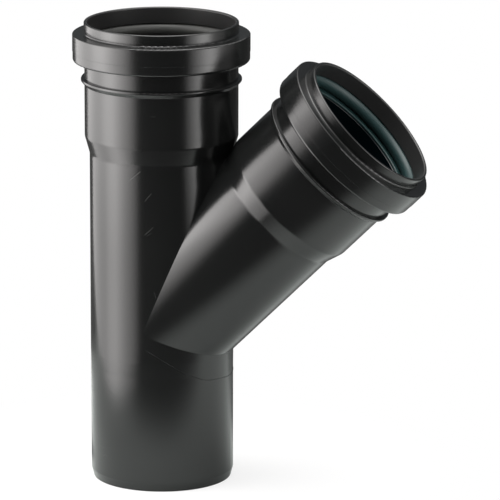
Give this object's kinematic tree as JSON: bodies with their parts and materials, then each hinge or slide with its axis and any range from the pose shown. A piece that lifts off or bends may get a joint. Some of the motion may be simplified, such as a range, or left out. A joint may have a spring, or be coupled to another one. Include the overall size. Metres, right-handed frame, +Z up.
{
  "type": "lateral wye fitting",
  "caption": "Black push-fit waste pipe branch at 45 degrees, with a plain spigot and ring-sealed sockets on its run and its branch.",
  "frame": {"origin": "centre of the spigot's end face, on the run's axis, which is the face the fitting stands on", "axes": "+Z up along the run towards its socket; the branch leans from +Z towards +X at 45 degrees; the XZ plane holds both axes"},
  "size_m": [0.1871, 0.0928, 0.244],
  "materials": {
    "pipe_plastic": "satin black polypropylene, injection moulded",
    "ring_rubber": "smooth black rubber, slightly greased"
  },
  "bodies": {
    "root": {"wye_body": "pipe_plastic", "run_seal": "ring_rubber", "branch_seal": "ring_rubber"}
  },
  "joints": []
}
